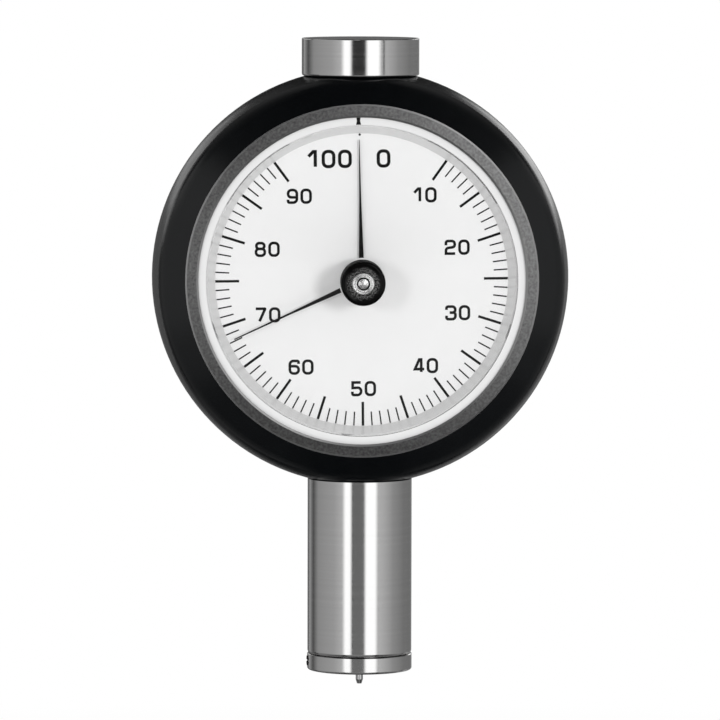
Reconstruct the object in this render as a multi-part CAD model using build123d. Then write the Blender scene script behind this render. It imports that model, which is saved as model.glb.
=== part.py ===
from build123d import *

import os
from math import acos, atan2, cos, degrees, dist, isclose, pi, radians, sin, sqrt, tan

# An analog hardness tester with a round case. A sprung indenter under the stem drives the pointer
# through a rack and two gears, and a second hand on the crystal keeps the highest reading.
# Sizes are in millimetres. Z is up along the stem, the dial faces -Y, and the origin is the middle of the
# presser foot's face. The case and the movement are drawn in the dial's own frame: x right, y up, and z
# towards the reader.

# Clearances
FIXED_GAP = 0.02  # round pieces that are pressed, screwed or glued together
RUNNING_GAP = 0.04  # round shafts, arbors and the spindle
STOP_GAP = 0.05

# Case
BALL_R = 35.5  # the case's rim is a zone of a ball
CENTRE_Z = 67.32  # dial centre above the presser foot's face
CASE_FLAT_Z = 12.8  # flat front and back of the case, from its middle
CASE_SLOPE = 35.0  # from the flats down to the rim, in degrees
CASE_ROUND = 4.0  # between the slopes and the rim
CAVITY_R = 24.5
SHOULDER_Z = 4.6  # seat of the movement
MOVEMENT_WELL_R = 26.5
DIAL_LEDGE_Z = 8.4
DIAL_WELL_R = 28.05
BACK_WELL_R = 28.6
BACK_LEDGE_Z = -10.5

# Bezel, crystal and dial
BEZEL_R = 29.85
BEZEL_WINDOW_R = 27.62
BEZEL_FACE_Z = 13.6  # beside the window; the face falls away to the rim
BEZEL_RIM_Z = 13.32
BEZEL_WINDOW_BEVEL = (0.35, 0.15)  # width and depth
BEZEL_RIM_BEVEL = (0.28, 0.12)
BEZEL_THREAD_R = 28.8
BEZEL_THREAD_Z = 11.0
DIAL_FACE_Z = 9.2
DIAL_R = 28.0
DIAL_HOLE_R = 1.3
RING_FOOT_R = 24.8
RING_LEDGE_R = 26.08  # where the cone ends in the ledge that carries the crystal
RING_LEDGE_Z = 11.8
RING_REBATE_R = 26.34
RING_LAND_Z = 13.0  # front of the ring's land and of the crystal
SEAL_THICKNESS = 0.1
DIAL_FOOT_R = 0.6
DIAL_FOOT_X = 16.0
DIAL_FOOT_END_Z = 4.8

# Back cover
COVER_R = 28.5
COVER_FACE_Z = -13.0
COVER_SEAT_Z = -10.9
COVER_SEAL_R = 24.6
COVER_SCREWS = 4
COVER_SCREW_PITCH_R = 26.4
COVER_SCREW_R = 1.0
COVER_SCREW_HEAD_R = 1.9
COVER_SCREW_END_Z = -5.6
COVER_SOCKET_R = 0.65
COVER_SOCKET_DEPTH = 0.8
COVER_SCREW_CLEARANCE = 0.1
SOCKET_SIDES = 6

# Top cap
CAP_R = 10.0
CAP_HEIGHT = 6.38
CAP_SEAT_R = 9.3  # the case's flat under the cap
CAP_EDGE = 0.15
CAP_FOOT_EDGE = 0.35
CAP_STUD_R = 5.0
CAP_STUD_LENGTH = 6.8

# Presser foot and stem
FOOT_R = 8.95
FOOT_TOP_Z = 2.8
FOOT_EDGE = 0.4
FOOT_TOP_EDGE = 0.1
FOOT_HOLE_R = 1.5
FOOT_WALL = 0.8
FOOT_RECESS_R = 6.5
SET_SCREW_R = 0.85
SET_SCREW_Z = 1.55
SET_SCREW_TURN = 6.0  # from the left side towards the front
SET_SCREW_PROUD = 0.1
SET_SCREW_RUN_IN = 0.1  # how far its hole runs into the foot's recess
SET_SCREW_SLOT = 0.38
SET_SCREW_SLOT_DEPTH = 0.45
STEM_R = 8.9
STEM_SEAT_R = 8.3  # the case's flat over the stem
STEM_EDGE = 0.6
STEM_SPIGOT_R = 7.0
STEM_SPIGOT_TOP_Z = 40.0
SPRING_BORE_R = 5.4
SPRING_BORE_TOP_Z = 29.0
BUSH_BORE_R = 4.0
LOWER_BUSH_Z = (1.6, 8.0)
UPPER_BUSH_Z = (29.5, 39.8)

# Indenter and spindle
INDENTER_R = 0.625
INDENTER_TIP_R = 0.395
INDENTER_HALF_ANGLE = 17.5
INDENTER_TOP_Z = 8.0
SPINDLE_R = 2.0
SPINDLE_END_Z = 2.2
COLLAR_R = 4.9
COLLAR_TOP_Z = 9.5
GUIDE_PIN_R = 0.45
GUIDE_PIN_Z = 36.0
GUIDE_PIN_X = (0.8, 3.5)
GUIDE_SLOT_LOW_Z = 34.5

# Main spring and its adjuster
SPRING_R = 4.1
SPRING_WIRE_R = 0.5
SPRING_TURNS = 6
ADJUSTER_Z = (25.0, 28.5)
ADJUSTER_BORE_R = 2.5
ADJUSTER_SLOT = 1.2

# Gear train
MODULE = 0.25
PRESSURE_ANGLE = radians(20)
ADDENDUM = 0.75 * MODULE
DEDENDUM = 1.0 * MODULE
TOOTH_THINNING = 0.03
RACK_PINION_TEETH = 16
DRIVE_TEETH = 60
CENTRE_TEETH = 12
RACK_PITCH_X = 1.3  # pitch line of the rack, from the spindle's axis
RACK_TEETH = 9
RACK_TEETH_ABOVE = 2  # teeth above the one that is in mesh at rest
RACK_PINION_Z = (-1.6, 1.6)
DRIVE_GEAR_Z = (2.9, 3.7)
DRIVE_HUB_Z = 2.3
DRIVE_HUB_R = 1.8
DRIVE_HOLES = 5
DRIVE_HOLE_R = 1.6
DRIVE_HOLE_PITCH_R = 4.6
CENTRE_PINION_Z = (2.6, 4.0)
DRIVE_ARBOR_R = 0.9
DRIVE_PIVOT_R = 0.6
CENTRE_ARBOR_R = 0.75
CENTRE_PIVOT_R = 0.5
CENTRE_ARBOR_END_Z = 10.1
PIVOT_SHORT = 0.1  # how far a pivot ends inside its plate
END_SHAKE = 0.2

# Movement plates
PLATE_R = 26.4
FRONT_PLATE_Z = (4.6, 5.8)
REAR_PLATE_Z = (-6.5, -5.0)
PILLAR_R = 1.8
PILLAR_RIVET_R = 0.9
PILLAR_X = 13.0
PILLAR_Y = (-13.0, 8.0)
REAR_PLATE_MARGIN = 3.0
PILLAR_SCREW_R = 0.8
PILLAR_SCREW_LENGTH = 6.0
PILLAR_SCREW_HEAD_R = 1.6
PILLAR_SCREW_HEAD = 1.0
PLATE_SCREWS = 3
PLATE_SCREW_PITCH_R = 25.5
PLATE_SCREW_R = 0.7
PLATE_SCREW_LENGTH = 5.5
PLATE_SCREW_HEAD_R = 0.9
PLATE_SCREW_HEAD = 0.8
SLOT_SHARE = 0.25  # width of a screw's slot and its depth, as shares of the head's radius and height
SLOT_DEPTH_SHARE = 0.5
BEARING_R = 1.6

# Hairspring
HAIRSPRING_Z = (-4.2, -3.6)
HAIRSPRING_R = 1.85
HAIRSPRING_STEP = 1.0
HAIRSPRING_TURNS = 5
HAIRSPRING_THICKNESS = 0.15
COLLET_R = 1.6
COLLET_Z = (-4.3, -3.5)
STUD_R = 0.7
STUD_Z = (-6.0, -3.4)

# Hands
HAND_LENGTH = 23.75
HAND_MIDDLE = 13.4
HAND_ROOT_WIDTH = 0.9
HAND_MIDDLE_WIDTH = 0.34
POINTER_TIP_WIDTH = 0.12
DRAG_TIP_WIDTH = 0.19
HAND_EYE_R = 2.6
HUB_R = 1.7
POINTER_Z = (9.7, 9.95)
POINTER_HUB_Z = (9.45, 10.2)
POINTER_TURN = 1.15  # anticlockwise from the top, as the dial is set
CARRY_PIN_R = 0.25
CARRY_PIN_REACH = 6.0
CARRY_PIN_END_Z = 10.4
DRAG_Z = (10.7, 10.95)
DRAG_HUB_Z = (10.5, 11.25)
DRAG_TURN = -245.1  # clockwise from the top, at a reading of about 68

# Knob of the drag hand and its bush in the crystal
DRAG_BUSH_R = 1.8
DRAG_BUSH_FLANGE_R = 3.95
DRAG_BUSH_FRONT_Z = 13.5
DRAG_SHAFT_R = 0.8
DRAG_SHAFT_END_Z = 10.55
WASHER_R = (0.95, 2.4)
WASHER_Z = (13.52, 13.7)
KNOB_R = 3.75
KNOB_Z = (13.8, 20.2)
KNOB_EDGE = 0.5
KNOB_BACK_EDGE = 0.4
KNOB_VALLEY_R = 2.72  # shallow ring round a crest in the knob's face
KNOB_CREST_R = 2.28
KNOB_VALLEY_DEPTH = 0.1
KNOB_LAND_R = 3.18
SHAFT_HEAD_R = 1.9
SHAFT_HEAD_Z = (19.5, 20.35)
SHAFT_HEAD_EDGE = 0.12
SHAFT_RING_R = 1.12
SHAFT_GROOVE_Z = 19.75
SHAFT_DOME_R = 0.86
SHAFT_DOME_Z = (20.35, 20.57)  # its edge and its top

# Worked out from the sizes above
RACK_PITCH = pi * MODULE
RACK_PINION_R = MODULE * RACK_PINION_TEETH / 2
DRIVE_R = MODULE * DRIVE_TEETH / 2
CENTRE_R = MODULE * CENTRE_TEETH / 2
TRAVEL = 2 * pi * RACK_PINION_R * CENTRE_TEETH / DRIVE_TEETH  # one full turn of the pointer
DRIVE_X = -(RACK_PITCH_X + RACK_PINION_R)
DRIVE_Y = -sqrt((DRIVE_R + CENTRE_R) ** 2 - DRIVE_X ** 2)
DRIVE_HEIGHT = CENTRE_Z + DRIVE_Y
MESH_ANGLE = degrees(atan2(-DRIVE_Y, -DRIVE_X))  # direction from the drive gear to the centre pinion
CAP_SEAT_Z = CENTRE_Z + sqrt(BALL_R ** 2 - CAP_SEAT_R ** 2)
STEM_SEAT_Z = CENTRE_Z - sqrt(BALL_R ** 2 - STEM_SEAT_R ** 2)
CRYSTAL_R = RING_REBATE_R - FIXED_GAP
CRYSTAL_BACK_Z = RING_LEDGE_Z + SEAL_THICKNESS
SPINDLE_TOP_Z = DRIVE_HEIGHT + (RACK_TEETH_ABOVE + 1) * RACK_PITCH
HAIRSPRING_END_X = HAIRSPRING_R + HAIRSPRING_TURNS * HAIRSPRING_STEP
LIFT = (Align.CENTER, Align.CENTER, Align.MIN)
DIAL_FRAME = Pos(0, 0, CENTRE_Z) * Rot(90, 0, 0)
DRIVE_AXIS = Pos(DRIVE_X, DRIVE_Y, 0)
COVER_SPOTS = PolarLocations(COVER_SCREW_PITCH_R, COVER_SCREWS, 45)
PLATE_SPOTS = PolarLocations(PLATE_SCREW_PITCH_R, PLATE_SCREWS)
PILLAR_SPOTS = [Pos(x, y, 0) for x in (-PILLAR_X, PILLAR_X) for y in PILLAR_Y]
DIAL_FOOT_SPOTS = [Pos(x, 0, 0) for x in (-DIAL_FOOT_X, DIAL_FOOT_X)]


def rod(radius, low, high):
    """A cylinder about z between two heights."""
    return Pos(0, 0, low) * Cylinder(radius, high - low, align=LIFT)


def ring(inner, outer, low, high):
    """A plain ring about z between two heights."""
    return rod(outer, low, high) - rod(inner, low, high)


def turned(*outline):
    """A solid of revolution about z from a closed outline of (radius, height) points."""
    return revolve(Plane.XZ * make_face(Polyline(*outline, close=True)), Axis.Z)


def rim(piece, radius, height):
    """The round edge of a turned piece at this radius and height."""
    circles = piece.edges().filter_by(GeomType.CIRCLE)
    return [e for e in circles if isclose(e.radius, radius) and isclose(e.arc_center.Z, height, abs_tol=1e-6)]


def each(spots, shape):
    """Separate copies of a shape, one at each spot."""
    return Part() + [spot * shape for spot in spots]


def flat(face, low, high):
    """A plate made from a flat face between two heights."""
    return extrude(Pos(0, 0, low) * face, high - low)


def slotted_screw(shank_r, length, head_r, head):
    """A slotted screw pointing down from z 0, where its head begins."""
    slot_depth = SLOT_DEPTH_SHARE * head
    slot = Pos(0, 0, head) * Box(3 * head_r, SLOT_SHARE * head_r, 2 * slot_depth)
    return rod(shank_r, -length, 0) + (rod(head_r, 0, head) - slot)


def involute(angle):
    """The involute function of a pressure angle."""
    return tan(angle) - angle


def gear_face(teeth, turn):
    """Outline of a spur gear with one tooth at the angle turn, in degrees."""
    pitch_r = MODULE * teeth / 2
    base_r = pitch_r * cos(PRESSURE_ANGLE)
    root_r = pitch_r - DEDENDUM
    tip_r = pitch_r + ADDENDUM
    flank_r = max(root_r, base_r)
    radii = sorted({root_r, flank_r, (flank_r + tip_r) / 2, tip_r})
    half_tooth = (RACK_PITCH / 2 - TOOTH_THINNING) / 2 / pitch_r

    def half_angle(radius):
        here = acos(base_r / max(radius, base_r))
        return half_tooth + involute(PRESSURE_ANGLE) - involute(here)

    points = []
    for tooth in range(teeth):
        middle = radians(turn) + 2 * pi * tooth / teeth
        rising = [(r, middle - half_angle(r)) for r in radii]
        falling = [(r, middle + half_angle(r)) for r in reversed(radii)]
        points += [(r * cos(angle), r * sin(angle)) for r, angle in rising + falling]
    return make_face(Polyline(*points, close=True))


def rack_cutter():
    """What is cut away beside the rack's teeth, on the -X side of the spindle."""
    tip_x = -(RACK_PITCH_X + ADDENDUM)
    root_x = -(RACK_PITCH_X - DEDENDUM)
    half_pitch_tooth = (RACK_PITCH / 2 - TOOTH_THINNING) / 2
    half_tip = half_pitch_tooth - ADDENDUM * tan(PRESSURE_ANGLE)
    half_root = half_pitch_tooth + DEDENDUM * tan(PRESSURE_ANGLE)
    first = RACK_TEETH_ABOVE + 1 - RACK_TEETH
    middles = [DRIVE_HEIGHT + (first + k) * RACK_PITCH for k in range(RACK_TEETH)]
    outer_x = -2 * SPINDLE_R
    low = middles[0] - RACK_PITCH
    high = SPINDLE_TOP_Z + RACK_PITCH
    points = [(outer_x, high), (outer_x, low), (root_x, low)]
    for middle in middles:
        points += [(root_x, middle - half_root), (tip_x, middle - half_tip)]
        points += [(tip_x, middle + half_tip), (root_x, middle + half_root)]
    points.append((root_x, high))
    return extrude(Plane.XZ * make_face(Polyline(*points, close=True)), 2 * SPINDLE_R, both=True)


def case_body():
    """The case from outside: a ball's zone between two sloping faces, rounded where they meet."""
    wide_r = BALL_R + CASE_ROUND
    wide_z = CASE_FLAT_Z - (wide_r - BEZEL_R) * tan(radians(CASE_SLOPE))
    slopes = turned(
        (0, -CASE_FLAT_Z),
        (BEZEL_R, -CASE_FLAT_Z),
        (wide_r, -wide_z),
        (wide_r, wide_z),
        (BEZEL_R, CASE_FLAT_Z),
        (0, CASE_FLAT_Z),
    )
    body = Sphere(BALL_R) & slopes
    circles = body.edges().filter_by(GeomType.CIRCLE)
    corners = [e for e in circles if e.radius > BEZEL_R + CASE_ROUND]
    return fillet(corners, CASE_ROUND)


def housing():
    """The case with its stepped bore and the seats of the cap and the stem."""
    body = case_body()
    bores = (
        (BACK_WELL_R, -CASE_FLAT_Z, BACK_LEDGE_Z),
        (CAVITY_R, BACK_LEDGE_Z, SHOULDER_Z),
        (MOVEMENT_WELL_R, SHOULDER_Z, DIAL_LEDGE_Z),
        (DIAL_WELL_R, DIAL_LEDGE_Z, BEZEL_THREAD_Z),
        (BEZEL_THREAD_R + FIXED_GAP, BEZEL_THREAD_Z, CASE_FLAT_Z),
    )
    for radius, low, high in bores:
        body -= rod(radius, low, high)
    body -= each(COVER_SPOTS, rod(COVER_SCREW_R + FIXED_GAP, BACK_LEDGE_Z, COVER_SCREW_END_Z))
    plate_screw_end = SHOULDER_Z - PLATE_SCREW_LENGTH
    body -= each(PLATE_SPOTS, rod(PLATE_SCREW_R + FIXED_GAP, plate_screw_end, SHOULDER_Z))
    case = DIAL_FRAME * body
    waste = Box(2 * BALL_R, 2 * BALL_R, BALL_R, align=LIFT)
    case -= Pos(0, 0, CAP_SEAT_Z) * waste
    case -= Pos(0, 0, STEM_SEAT_Z - BALL_R) * waste
    case -= rod(CAP_STUD_R + FIXED_GAP, CENTRE_Z, CAP_SEAT_Z)
    case -= rod(STEM_SPIGOT_R + FIXED_GAP, STEM_SEAT_Z, CENTRE_Z)
    return case


def back_cover():
    """A flat disc with countersunk holes."""
    clearance_r = COVER_SCREW_R + COVER_SCREW_CLEARANCE
    head_r = COVER_SCREW_HEAD_R + FIXED_GAP
    hole = turned(
        (0, COVER_FACE_Z),
        (head_r, COVER_FACE_Z),
        (clearance_r, COVER_FACE_Z + head_r - clearance_r),
        (clearance_r, COVER_SEAT_Z),
        (0, COVER_SEAT_Z),
    )
    return rod(COVER_R, COVER_FACE_Z, COVER_SEAT_Z) - each(COVER_SPOTS, hole)


def back_cover_seal():
    """The flat gasket under the back cover."""
    hole = rod(COVER_SCREW_R + COVER_SCREW_CLEARANCE, COVER_SEAT_Z, BACK_LEDGE_Z)
    return ring(COVER_SEAL_R, COVER_R, COVER_SEAT_Z, BACK_LEDGE_Z) - each(COVER_SPOTS, hole)


def back_cover_screws():
    """Countersunk socket screws, flush with the cover."""
    screw = turned(
        (0, COVER_FACE_Z),
        (COVER_SCREW_HEAD_R, COVER_FACE_Z),
        (COVER_SCREW_R, COVER_FACE_Z + COVER_SCREW_HEAD_R - COVER_SCREW_R),
        (COVER_SCREW_R, COVER_SCREW_END_Z),
        (0, COVER_SCREW_END_Z),
    )
    socket = flat(
        RegularPolygon(COVER_SOCKET_R, SOCKET_SIDES), COVER_FACE_Z, COVER_FACE_Z + COVER_SOCKET_DEPTH
    )
    return each(COVER_SPOTS, screw - socket)


def bezel_ring():
    """The screwed ring that holds the dial ring, with a sloping face between two bevels."""
    inner_r = DIAL_R + STOP_GAP
    lip_z = RING_LAND_Z + FIXED_GAP
    window_width, window_depth = BEZEL_WINDOW_BEVEL
    rim_width, rim_depth = BEZEL_RIM_BEVEL
    return turned(
        (BEZEL_WINDOW_R, lip_z),
        (inner_r, lip_z),
        (inner_r, BEZEL_THREAD_Z),
        (BEZEL_THREAD_R, BEZEL_THREAD_Z),
        (BEZEL_THREAD_R, CASE_FLAT_Z),
        (BEZEL_R, CASE_FLAT_Z),
        (BEZEL_R, BEZEL_RIM_Z - rim_depth),
        (BEZEL_R - rim_width, BEZEL_RIM_Z),
        (BEZEL_WINDOW_R + window_width, BEZEL_FACE_Z),
        (BEZEL_WINDOW_R, BEZEL_FACE_Z - window_depth),
    )


def dial_ring():
    """The ring round the dial: a steep cone, a rebate for the crystal, and a flat land flush with it."""
    return turned(
        (RING_FOOT_R, DIAL_FACE_Z),
        (RING_LEDGE_R, RING_LEDGE_Z),
        (RING_REBATE_R, RING_LEDGE_Z),
        (RING_REBATE_R, RING_LAND_Z),
        (DIAL_R, RING_LAND_Z),
        (DIAL_R, DIAL_FACE_Z),
    )


def front_plate():
    """The movement's main plate, with holes for the bearings, rivets, dial feet and screws."""
    low, high = FRONT_PLATE_Z
    plate = rod(PLATE_R, low, high)
    plate -= each((Pos(0, 0, 0), DRIVE_AXIS), rod(BEARING_R + FIXED_GAP, low, high))
    plate -= each(PILLAR_SPOTS, rod(PILLAR_RIVET_R + FIXED_GAP, low, high))
    plate -= each(DIAL_FOOT_SPOTS, rod(DIAL_FOOT_R + FIXED_GAP, low, high))
    plate -= each(PLATE_SPOTS, rod(PLATE_SCREW_R + RUNNING_GAP, low, high))
    return plate


def rear_plate():
    """The smaller plate behind the spindle, carried by the pillars."""
    low, high = REAR_PLATE_Z
    width = 2 * (PILLAR_X + REAR_PLATE_MARGIN)
    height = PILLAR_Y[1] - PILLAR_Y[0] + 2 * REAR_PLATE_MARGIN
    outline = Pos(0, sum(PILLAR_Y) / 2) * RectangleRounded(width, height, REAR_PLATE_MARGIN)
    plate = flat(outline, low, high)
    plate -= each((Pos(0, 0, 0), DRIVE_AXIS), rod(BEARING_R + FIXED_GAP, low, high))
    plate -= each(PILLAR_SPOTS, rod(PILLAR_SCREW_R + RUNNING_GAP, low, high))
    plate -= stud_spot() * rod(STUD_R + FIXED_GAP, low, high)
    return plate


def plate_pillars():
    """Pillars riveted in the front plate and tapped for the rear plate's screws."""
    low = REAR_PLATE_Z[1]
    pillar = rod(PILLAR_R, low, FRONT_PLATE_Z[0]) + rod(PILLAR_RIVET_R, *FRONT_PLATE_Z)
    pillar -= rod(PILLAR_SCREW_R + FIXED_GAP, low, low + PILLAR_SCREW_LENGTH)
    return each(PILLAR_SPOTS, pillar)


def pillar_screws():
    """Screws through the rear plate into the pillars, with their heads behind it."""
    screw = slotted_screw(PILLAR_SCREW_R, PILLAR_SCREW_LENGTH, PILLAR_SCREW_HEAD_R, PILLAR_SCREW_HEAD)
    return each(PILLAR_SPOTS, Pos(0, 0, REAR_PLATE_Z[0]) * Rot(180, 0, 0) * screw)


def plate_screws():
    """Screws that hold the movement on the case's shoulder."""
    length = PLATE_SCREW_LENGTH + FRONT_PLATE_Z[1] - FRONT_PLATE_Z[0]
    screw = slotted_screw(PLATE_SCREW_R, length, PLATE_SCREW_HEAD_R, PLATE_SCREW_HEAD)
    return each(PLATE_SPOTS, Pos(0, 0, FRONT_PLATE_Z[1]) * screw)


def arbor_bearings():
    """Bearing bushes of both arbors, in both plates."""
    drive_r = DRIVE_PIVOT_R + RUNNING_GAP
    drive = [ring(drive_r, BEARING_R, *span) for span in (FRONT_PLATE_Z, REAR_PLATE_Z)]
    centre_front = ring(CENTRE_ARBOR_R + RUNNING_GAP, BEARING_R, *FRONT_PLATE_Z)
    centre_rear = ring(CENTRE_PIVOT_R + RUNNING_GAP, BEARING_R, *REAR_PLATE_Z)
    return Part() + [DRIVE_AXIS * bush for bush in drive] + [centre_front, centre_rear]


def rack_pinion():
    """The pinion that the rack drives, cut on its arbor, with a tooth gap towards the rack at rest."""
    shoulder_low = REAR_PLATE_Z[1] + END_SHAKE
    shoulder_high = FRONT_PLATE_Z[0] - END_SHAKE
    arbor = rod(DRIVE_ARBOR_R, shoulder_low, shoulder_high)
    arbor += rod(DRIVE_PIVOT_R, REAR_PLATE_Z[0] + PIVOT_SHORT, FRONT_PLATE_Z[1] - PIVOT_SHORT)
    half_step = 180 / RACK_PINION_TEETH
    return DRIVE_AXIS * (arbor + flat(gear_face(RACK_PINION_TEETH, half_step), *RACK_PINION_Z))


def drive_gear():
    """The large gear on the rack pinion's arbor, with a tooth towards the centre pinion at rest."""
    gear = flat(gear_face(DRIVE_TEETH, MESH_ANGLE), *DRIVE_GEAR_Z)
    gear -= each(PolarLocations(DRIVE_HOLE_PITCH_R, DRIVE_HOLES), rod(DRIVE_HOLE_R, *DRIVE_GEAR_Z))
    gear += rod(DRIVE_HUB_R, DRIVE_HUB_Z, DRIVE_GEAR_Z[0])
    gear -= rod(DRIVE_ARBOR_R + FIXED_GAP, DRIVE_HUB_Z, DRIVE_GEAR_Z[1])
    return DRIVE_AXIS * gear


def centre_arbor():
    """The pointer's arbor and pinion, with a tooth gap towards the drive gear at rest."""
    shoulder = REAR_PLATE_Z[1] + END_SHAKE
    arbor = rod(CENTRE_ARBOR_R, shoulder, CENTRE_ARBOR_END_Z)
    arbor += rod(CENTRE_PIVOT_R, REAR_PLATE_Z[0] + PIVOT_SHORT, shoulder)
    gap_angle = MESH_ANGLE + 180 + 180 / CENTRE_TEETH
    return arbor + flat(gear_face(CENTRE_TEETH, gap_angle), *CENTRE_PINION_Z)


def hairspring():
    """A flat spiral strip of half-turn arcs about two centres."""
    arcs = []
    for half_turn in range(2 * HAIRSPRING_TURNS):
        side = half_turn % 2
        radius = HAIRSPRING_R + half_turn * HAIRSPRING_STEP / 2
        arcs.append(CenterArc((side * HAIRSPRING_STEP / 2, 0), radius, 180 * side, 180))
    return flat(trace(Curve() + arcs, HAIRSPRING_THICKNESS), *HAIRSPRING_Z)


def stud_spot():
    """Where the hairspring's stud stands, just past the end of the strip."""
    return Pos(HAIRSPRING_END_X, STUD_R + FIXED_GAP, 0)


def hand(span, tip_width, turn):
    """A tapered hand with a round eye, turned anticlockwise from the top by the angle turn."""
    half_root, half_middle, half_tip = HAND_ROOT_WIDTH / 2, HAND_MIDDLE_WIDTH / 2, tip_width / 2
    right = [(half_root, HUB_R), (half_middle, HAND_MIDDLE), (half_tip, HAND_LENGTH)]
    left = [(-x, y) for x, y in reversed(right)]
    blade = make_face(Polyline(*right, *left, close=True)) + Circle(HAND_EYE_R)
    return Rot(0, 0, turn) * flat(blade - Circle(HUB_R + FIXED_GAP), *span)


def main_pointer():
    """The pointer and the short pin that meets the drag hand."""
    pin_z = (POINTER_Z[1], CARRY_PIN_END_Z)
    pin = Rot(0, 0, POINTER_TURN) * Pos(0, CARRY_PIN_REACH, 0) * rod(CARRY_PIN_R, *pin_z)
    return hand(POINTER_Z, POINTER_TIP_WIDTH, POINTER_TURN) + pin


def drag_bush():
    """The flanged bush in the crystal that carries the drag hand's shaft."""
    bush = rod(DRAG_BUSH_R, CRYSTAL_BACK_Z, RING_LAND_Z)
    bush += rod(DRAG_BUSH_FLANGE_R, RING_LAND_Z, DRAG_BUSH_FRONT_Z)
    return bush - rod(DRAG_SHAFT_R + RUNNING_GAP, CRYSTAL_BACK_Z, DRAG_BUSH_FRONT_Z)


def drag_shaft():
    """The drag hand's shaft with a turned head: a flat ring, a groove and a low dome in the knob's face."""
    low, high = SHAFT_HEAD_Z
    dome_edge, dome_top = SHAFT_DOME_Z
    head = turned(
        (0, low),
        (SHAFT_HEAD_R, low),
        (SHAFT_HEAD_R, high - SHAFT_HEAD_EDGE),
        (SHAFT_HEAD_R - SHAFT_HEAD_EDGE, high),
        (SHAFT_RING_R, high),
        (SHAFT_RING_R, SHAFT_GROOVE_Z),
        (SHAFT_DOME_R, SHAFT_GROOVE_Z),
        (SHAFT_DOME_R, dome_edge),
        (0, dome_edge),
    )
    rise = dome_top - dome_edge
    ball_r = (SHAFT_DOME_R ** 2 + rise ** 2) / 2 / rise
    dome = Pos(0, 0, dome_top - ball_r) * Sphere(ball_r)
    dome &= rod(SHAFT_DOME_R, dome_edge, dome_top)
    return rod(DRAG_SHAFT_R, DRAG_SHAFT_END_Z, low) + head + dome


def drag_knob():
    """The round knob with a ringed face, recessed for the shaft's head."""
    low, high = KNOB_Z
    valley_z = high - KNOB_VALLEY_DEPTH
    head_r = SHAFT_HEAD_R + FIXED_GAP
    bore_r = DRAG_SHAFT_R + FIXED_GAP
    knob = turned(
        (bore_r, low),
        (KNOB_R, low),
        (KNOB_R, high),
        (KNOB_LAND_R, high),
        (KNOB_VALLEY_R, valley_z),
        (KNOB_CREST_R, high),
        (head_r, valley_z),
        (head_r, SHAFT_HEAD_Z[0]),
        (bore_r, SHAFT_HEAD_Z[0]),
    )
    knob = fillet(rim(knob, KNOB_R, high), KNOB_EDGE)
    return chamfer(rim(knob, KNOB_R, low), KNOB_BACK_EDGE)


def top_cap():
    """The turned cap on top, with its stud in the case."""
    top_z = CAP_SEAT_Z + CAP_HEIGHT
    cap = fillet(rim(rod(CAP_R, CAP_SEAT_Z, top_z), CAP_R, top_z), CAP_EDGE)
    cap = fillet(rim(cap, CAP_R, CAP_SEAT_Z), CAP_FOOT_EDGE)
    return cap + rod(CAP_STUD_R, CAP_SEAT_Z - CAP_STUD_LENGTH, CAP_SEAT_Z)


def stem():
    """The turned stem: a spigot in the foot, the grip with a rounded lower edge, and a spigot in the case."""
    body = turned(
        (SPRING_BORE_R, FOOT_WALL),
        (FOOT_RECESS_R - FIXED_GAP, FOOT_WALL),
        (FOOT_RECESS_R - FIXED_GAP, FOOT_TOP_Z),
        (STEM_R, FOOT_TOP_Z),
        (STEM_R, STEM_SEAT_Z),
        (STEM_SPIGOT_R, STEM_SEAT_Z),
        (STEM_SPIGOT_R, STEM_SPIGOT_TOP_Z),
        (BUSH_BORE_R, STEM_SPIGOT_TOP_Z),
        (BUSH_BORE_R, SPRING_BORE_TOP_Z),
        (SPRING_BORE_R, SPRING_BORE_TOP_Z),
    )
    return fillet(rim(body, STEM_R, FOOT_TOP_Z), STEM_EDGE)


def set_screw_frame():
    """Frame of the set screw: z points out of the foot, to the left and a little to the front."""
    return Pos(0, 0, SET_SCREW_Z) * Rot(0, 0, SET_SCREW_TURN) * Rot(0, -90, 0)


def presser_foot():
    """The round foot, recessed for the stem, with the indenter's hole and the set screw's hole."""
    foot = turned(
        (FOOT_HOLE_R, 0),
        (FOOT_R, 0),
        (FOOT_R, FOOT_TOP_Z),
        (FOOT_RECESS_R, FOOT_TOP_Z),
        (FOOT_RECESS_R, FOOT_WALL),
        (FOOT_HOLE_R, FOOT_WALL),
    )
    foot = fillet(rim(foot, FOOT_R, 0), FOOT_EDGE)
    foot = chamfer(rim(foot, FOOT_R, FOOT_TOP_Z), FOOT_TOP_EDGE)
    hole = rod(SET_SCREW_R + FIXED_GAP, FOOT_RECESS_R - SET_SCREW_RUN_IN, 2 * FOOT_R)
    return foot - set_screw_frame() * hole


def foot_set_screw():
    """The headless screw that locks the foot on the stem."""
    end = FOOT_R + SET_SCREW_PROUD
    slot = Pos(0, 0, end) * Box(SET_SCREW_SLOT, 3 * SET_SCREW_R, 2 * SET_SCREW_SLOT_DEPTH)
    return set_screw_frame() * (rod(SET_SCREW_R, FOOT_RECESS_R, end) - slot)


def upper_bush():
    """The upper guide bush, slotted on the +X side for the guide pin."""
    low, high = UPPER_BUSH_Z
    bush = ring(SPINDLE_R + RUNNING_GAP, BUSH_BORE_R - FIXED_GAP, low, high)
    half_slot = GUIDE_PIN_R + RUNNING_GAP
    slot = Box(BUSH_BORE_R, 2 * half_slot, high - GUIDE_SLOT_LOW_Z, align=(Align.MIN, Align.CENTER, Align.MIN))
    return bush - Pos(0, 0, GUIDE_SLOT_LOW_Z) * slot


def spring_adjuster():
    """The screwed ring above the main spring, slotted for a key."""
    low, high = ADJUSTER_Z
    adjuster = ring(ADJUSTER_BORE_R, SPRING_BORE_R - FIXED_GAP, low, high)
    return adjuster - Pos(0, 0, high) * Box(3 * SPRING_BORE_R, ADJUSTER_SLOT, 2 * ADJUSTER_SLOT)


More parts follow.
